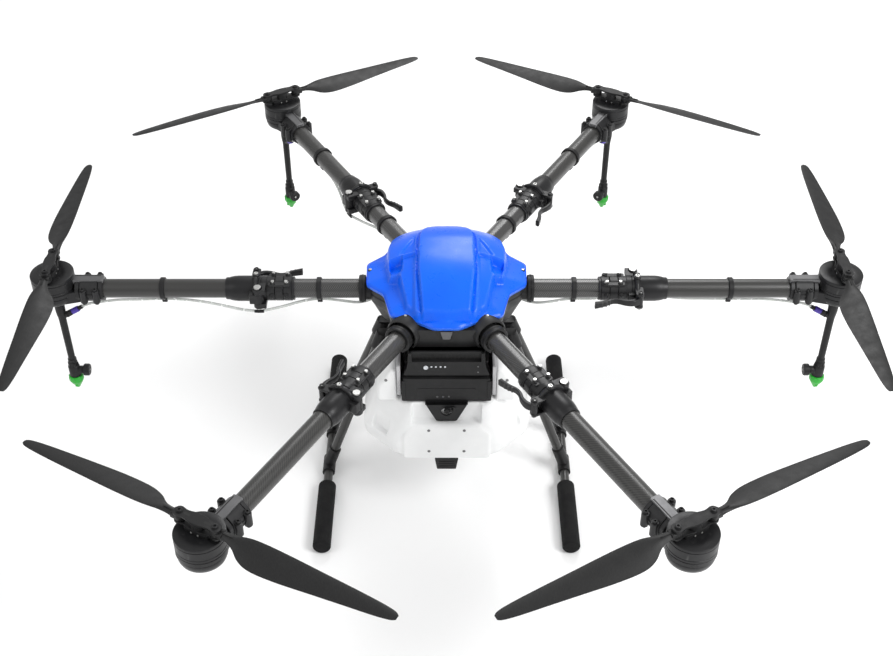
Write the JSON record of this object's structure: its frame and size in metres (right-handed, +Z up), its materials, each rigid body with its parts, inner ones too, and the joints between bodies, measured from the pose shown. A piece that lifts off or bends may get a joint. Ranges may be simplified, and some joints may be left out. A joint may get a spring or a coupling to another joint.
{
  "type": "agricultural spray drone",
  "caption": "Folding multirotor crop sprayer with a blue canopy, hinged arms with spray lances, a white liquid tank, a slide-in battery and skid legs.",
  "frame": {"origin": "on the ground, under the centre of the motor circle, between the two skids", "axes": "+Z up; -Y towards the front, where the battery slides out; +X to the right seen from the front"},
  "size_m": [1.734, 1.819, 0.596],
  "materials": {
    "blue_shell": "glossy moulded plastic",
    "black_plastic": "fine grained moulded plastic",
    "black_aluminium": "black anodised satin",
    "carbon_twill": "woven carbon twill under clear resin",
    "grey_aluminium": "dark anodised satin",
    "steel": "bright",
    "foam": "matte closed-cell foam",
    "white_tank": "translucent white moulded plastic",
    "hose_clear": "translucent flexible plastic",
    "board_green": "circuit board",
    "cell_wrap": "foil pouch",
    "prop_plastic": "fibre filled plastic, matte",
    "green_cap": "bright green moulded plastic"
  },
  "bodies": {
    "airframe": {"canopy_shell": "blue_shell", "lower_fuselage": "black_plastic", "centre_plates": "carbon_twill", "arm_clamps": "black_aluminium", "inner_arm_tubes": "grey_aluminium", "pins_and_screws": "steel", "landing_gear_tubes": "carbon_twill", "landing_gear_clamps": "black_plastic", "skid_foam": "foam", "battery_bay": "grey_aluminium", "avionics": "board_green", "spray_pump": "black_plastic", "spray_hoses": "hose_clear", "tank_shell": "white_tank", "tank_outlet": "black_plastic"},
    "filler_cap": {"tank_cap": "black_plastic"},
    "battery": {"battery_case": "black_plastic", "battery_cells": "cell_wrap"},
    "battery_button": {"battery_button": "black_plastic"},
    "battery_lock": {"battery_lock": "black_plastic"},
    "arm_mr": {"arm_tube_mr": "carbon_twill", "arm_fittings_mr": "black_aluminium", "spray_lance_mr": "black_plastic"},
    "lever_mr": {"lever_mr": "black_aluminium"},
    "rotor_mr": {"rotor_mr": "black_aluminium"},
    "blade_mr_a": {"blade_mr_a": "prop_plastic"},
    "blade_mr_b": {"blade_mr_b": "prop_plastic"},
    "arm_br": {"arm_tube_br": "carbon_twill", "arm_fittings_br": "black_aluminium", "spray_lance_br": "black_plastic"},
    "lever_br": {"lever_br": "black_aluminium"},
    "rotor_br": {"rotor_br": "black_aluminium"},
    "blade_br_a": {"blade_br_a": "prop_plastic"},
    "blade_br_b": {"blade_br_b": "prop_plastic"},
    "arm_bl": {"arm_tube_bl": "carbon_twill", "arm_fittings_bl": "black_aluminium", "spray_lance_bl": "black_plastic"},
    "lever_bl": {"lever_bl": "black_aluminium"},
    "rotor_bl": {"rotor_bl": "black_aluminium"},
    "blade_bl_a": {"blade_bl_a": "prop_plastic"},
    "blade_bl_b": {"blade_bl_b": "prop_plastic"},
    "arm_ml": {"arm_tube_ml": "carbon_twill", "arm_fittings_ml": "black_aluminium", "spray_lance_ml": "black_plastic"},
    "lever_ml": {"lever_ml": "black_aluminium"},
    "rotor_ml": {"rotor_ml": "black_aluminium"},
    "blade_ml_a": {"blade_ml_a": "prop_plastic"},
    "blade_ml_b": {"blade_ml_b": "prop_plastic"},
    "arm_fl": {"arm_tube_fl": "carbon_twill", "arm_fittings_fl": "black_aluminium"},
    "lever_fl": {"lever_fl": "black_aluminium"},
    "rotor_fl": {"rotor_fl": "black_aluminium"},
    "blade_fl_a": {"blade_fl_a": "prop_plastic"},
    "blade_fl_b": {"blade_fl_b": "prop_plastic"},
    "arm_fr": {"arm_tube_fr": "carbon_twill", "arm_fittings_fr": "black_aluminium"},
    "lever_fr": {"lever_fr": "black_aluminium"},
    "rotor_fr": {"rotor_fr": "black_aluminium"},
    "blade_fr_a": {"blade_fr_a": "prop_plastic"},
    "blade_fr_b": {"blade_fr_b": "prop_plastic"}
  },
  "joints": [
    {"name": "filler_cap_turn", "type": "hinge", "parent": "airframe", "child": "filler_cap", "pos_m": [0, 0.158, 0.377], "axis": [0, 0.8247, 0.5655], "range_deg": [0, 90]},
    {"name": "battery_slide", "type": "slide", "parent": "airframe", "child": "battery", "axis": [0, -1, 0], "range_m": [0, 0.28]},
    {"name": "battery_button_press", "type": "slide", "parent": "battery", "child": "battery_button", "axis": [0, 1, 0], "range_m": [0, 0.0012], "stiffness_N_per_m": 800},
    {"name": "battery_lock_turn", "type": "hinge", "parent": "battery", "child": "battery_lock", "pos_m": [0.014, -0.198, 0.325], "axis": [0, -1, 0], "range_deg": [0, 70]},
    {"name": "fold_mr", "type": "hinge", "parent": "airframe", "child": "arm_mr", "pos_m": [0.392, 0.031, 0.484], "axis": [0, 0, 1], "range_deg": [0, 90]},
    {"name": "lever_mr_open", "type": "hinge", "parent": "arm_mr", "child": "lever_mr", "pos_m": [0.402, -0.041, 0.484], "axis": [0, 0, 1], "range_deg": [0, 90]},
    {"name": "rotor_mr_spin", "type": "hinge", "parent": "arm_mr", "child": "rotor_mr", "pos_m": [0.822, 0, 0.525], "axis": [0, 0, 1], "continuous": true},
    {"name": "blade_mr_a_fold", "type": "hinge", "parent": "rotor_mr", "child": "blade_mr_a", "pos_m": [0.822, 0.037, 0.543], "axis": [0, 0, 1], "range_deg": [0, 90]},
    {"name": "blade_mr_b_fold", "type": "hinge", "parent": "rotor_mr", "child": "blade_mr_b", "pos_m": [0.822, -0.037, 0.543], "axis": [0, 0, -1], "range_deg": [0, 90]},
    {"name": "fold_br", "type": "hinge", "parent": "airframe", "child": "arm_br", "pos_m": [0.16915, 0.35498, 0.484], "axis": [0, 0, 1], "range_deg": [0, 90]},
    {"name": "lever_br_open", "type": "hinge", "parent": "arm_br", "child": "lever_br", "pos_m": [0.23651, 0.32764, 0.484], "axis": [0, 0, 1], "range_deg": [0, 90]},
    {"name": "rotor_br_spin", "type": "hinge", "parent": "arm_br", "child": "rotor_br", "pos_m": [0.411, 0.71187, 0.525], "axis": [0, 0, -1], "continuous": true},
    {"name": "blade_br_a_fold", "type": "hinge", "parent": "rotor_br", "child": "blade_br_a", "pos_m": [0.37896, 0.73037, 0.543], "axis": [0, 0, 1], "range_deg": [0, 90]},
    {"name": "blade_br_b_fold", "type": "hinge", "parent": "rotor_br", "child": "blade_br_b", "pos_m": [0.44304, 0.69337, 0.543], "axis": [0, 0, -1], "range_deg": [0, 90]},
    {"name": "fold_bl", "type": "hinge", "parent": "airframe", "child": "arm_bl", "pos_m": [-0.22285, 0.32398, 0.484], "axis": [0, 0, 1], "range_deg": [0, 90]},
    {"name": "lever_bl_open", "type": "hinge", "parent": "arm_bl", "child": "lever_bl", "pos_m": [-0.16549, 0.36864, 0.484], "axis": [0, 0, 1], "range_deg": [0, 90]},
    {"name": "rotor_bl_spin", "type": "hinge", "parent": "arm_bl", "child": "rotor_bl", "pos_m": [-0.411, 0.71187, 0.525], "axis": [0, 0, 1], "continuous": true},
    {"name": "blade_bl_a_fold", "type": "hinge", "parent": "rotor_bl", "child": "blade_bl_a", "pos_m": [-0.44304, 0.69337, 0.543], "axis": [0, 0, 1], "range_deg": [0, 90]},
    {"name": "blade_bl_b_fold", "type": "hinge", "parent": "rotor_bl", "child": "blade_bl_b", "pos_m": [-0.37896, 0.73037, 0.543], "axis": [0, 0, -1], "range_deg": [0, 90]},
    {"name": "fold_ml", "type": "hinge", "parent": "airframe", "child": "arm_ml", "pos_m": [-0.392, -0.031, 0.484], "axis": [0, 0, 1], "range_deg": [0, 90]},
    {"name": "lever_ml_open", "type": "hinge", "parent": "arm_ml", "child": "lever_ml", "pos_m": [-0.402, 0.041, 0.484], "axis": [0, 0, 1], "range_deg": [0, 90]},
    {"name": "rotor_ml_spin", "type": "hinge", "parent": "arm_ml", "child": "rotor_ml", "pos_m": [-0.822, 0, 0.525], "axis": [0, 0, -1], "continuous": true},
    {"name": "blade_ml_a_fold", "type": "hinge", "parent": "rotor_ml", "child": "blade_ml_a", "pos_m": [-0.822, -0.037, 0.543], "axis": [0, 0, 1], "range_deg": [0, 90]},
    {"name": "blade_ml_b_fold", "type": "hinge", "parent": "rotor_ml", "child": "blade_ml_b", "pos_m": [-0.822, 0.037, 0.543], "axis": [0, 0, -1], "range_deg": [0, 90]},
    {"name": "fold_fl", "type": "hinge", "parent": "airframe", "child": "arm_fl", "pos_m": [-0.16915, -0.35498, 0.484], "axis": [0, 0, 1], "range_deg": [0, 90]},
    {"name": "lever_fl_open", "type": "hinge", "parent": "arm_fl", "child": "lever_fl", "pos_m": [-0.23651, -0.32764, 0.484], "axis": [0, 0, 1], "range_deg": [0, 90]},
    {"name": "rotor_fl_spin", "type": "hinge", "parent": "arm_fl", "child": "rotor_fl", "pos_m": [-0.411, -0.71187, 0.525], "axis": [0, 0, 1], "continuous": true},
    {"name": "blade_fl_a_fold", "type": "hinge", "parent": "rotor_fl", "child": "blade_fl_a", "pos_m": [-0.37896, -0.73037, 0.543], "axis": [0, 0, 1], "range_deg": [0, 90]},
    {"name": "blade_fl_b_fold", "type": "hinge", "parent": "rotor_fl", "child": "blade_fl_b", "pos_m": [-0.44304, -0.69337, 0.543], "axis": [0, 0, -1], "range_deg": [0, 90]},
    {"name": "fold_fr", "type": "hinge", "parent": "airframe", "child": "arm_fr", "pos_m": [0.22285, -0.32398, 0.484], "axis": [0, 0, 1], "range_deg": [0, 90]},
    {"name": "lever_fr_open", "type": "hinge", "parent": "arm_fr", "child": "lever_fr", "pos_m": [0.16549, -0.36864, 0.484], "axis": [0, 0, 1], "range_deg": [0, 90]},
    {"name": "rotor_fr_spin", "type": "hinge", "parent": "arm_fr", "child": "rotor_fr", "pos_m": [0.411, -0.71187, 0.525], "axis": [0, 0, -1], "continuous": true},
    {"name": "blade_fr_a_fold", "type": "hinge", "parent": "rotor_fr", "child": "blade_fr_a", "pos_m": [0.44304, -0.69337, 0.543], "axis": [0, 0, 1], "range_deg": [0, 90]},
    {"name": "blade_fr_b_fold", "type": "hinge", "parent": "rotor_fr", "child": "blade_fr_b", "pos_m": [0.37896, -0.73037, 0.543], "axis": [0, 0, -1], "range_deg": [0, 90]}
  ]
}
